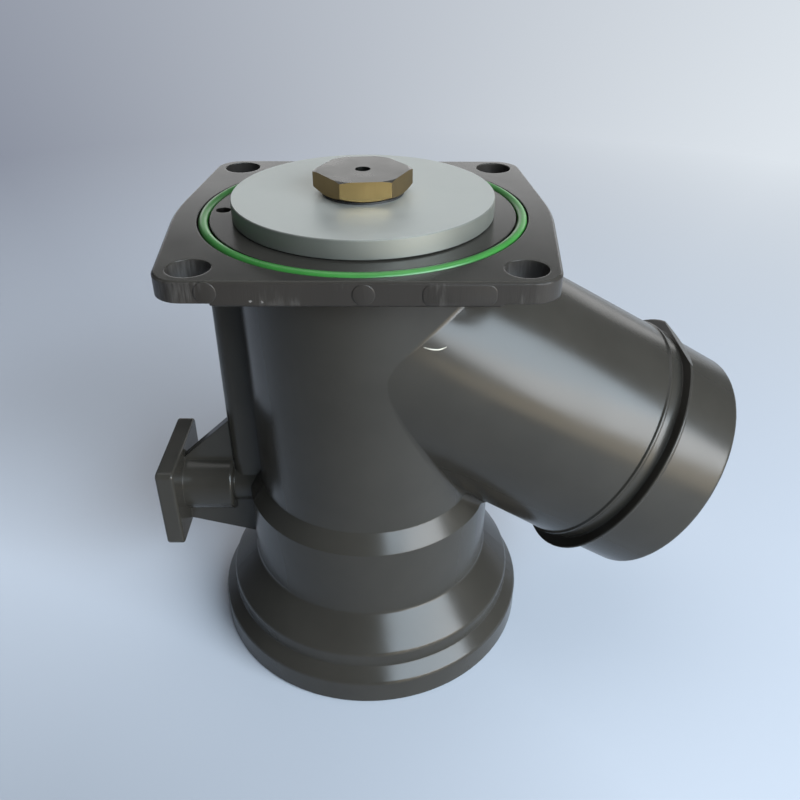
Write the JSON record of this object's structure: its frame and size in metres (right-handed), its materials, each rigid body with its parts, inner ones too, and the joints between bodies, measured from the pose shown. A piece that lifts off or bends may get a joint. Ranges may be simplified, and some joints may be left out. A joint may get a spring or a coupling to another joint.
{
  "type": "compressor intake valve",
  "caption": "Cast intake valve with a square bolt flange, slanted suction branch, side air port and a spring-closed poppet disc worked by a piston.",
  "frame": {"origin": "centre of the four flange bolt holes, on the flange's sealing face", "axes": "+Z along the stem, out of the housing at the flange; +X towards the slanted suction branch; +Y completes the frame"},
  "size_m": [0.2501, 0.1456, 0.2161],
  "materials": {
    "casting": "satin grey-brown paint on a casting",
    "green_rubber": "green fluoro rubber",
    "black_rubber": "black nitrile rubber",
    "bronze": "sintered bronze",
    "plated_steel": "zinc plated",
    "disc_steel": "satin, pale grey plating",
    "yellow_zinc": "yellow passivated zinc",
    "spring_steel": "bare spring steel",
    "machined_aluminium": "turned",
    "guide_plastic": "filled bearing plastic"
  },
  "bodies": {
    "housing": {"valve_housing": "casting", "flange_o_ring": "green_rubber", "stem_bush_upper": "bronze", "stem_bush_lower": "bronze", "stem_seal": "black_rubber", "lift_stop_ring": "black_rubber", "bottom_cover": "plated_steel", "cover_o_ring": "black_rubber", "cover_retaining_ring": "spring_steel", "breather_plug": "bronze", "closing_spring": "spring_steel"},
    "poppet": {"valve_stem": "plated_steel", "stem_o_ring": "black_rubber", "valve_disc": "disc_steel", "disc_facing": "black_rubber", "nut_washer": "black_rubber", "stem_nut": "yellow_zinc", "piston": "machined_aluminium", "piston_guide_ring": "guide_plastic", "piston_seal": "black_rubber", "piston_washer": "plated_steel", "piston_nut": "plated_steel"}
  },
  "joints": [
    {"name": "valve_lift", "type": "slide", "parent": "housing", "child": "poppet", "axis": [0, 0, 1], "range_m": [0, 0.018], "stiffness_N_per_m": 1500, "springref_m": -0.02, "deforming": ["closing_spring"]}
  ]
}
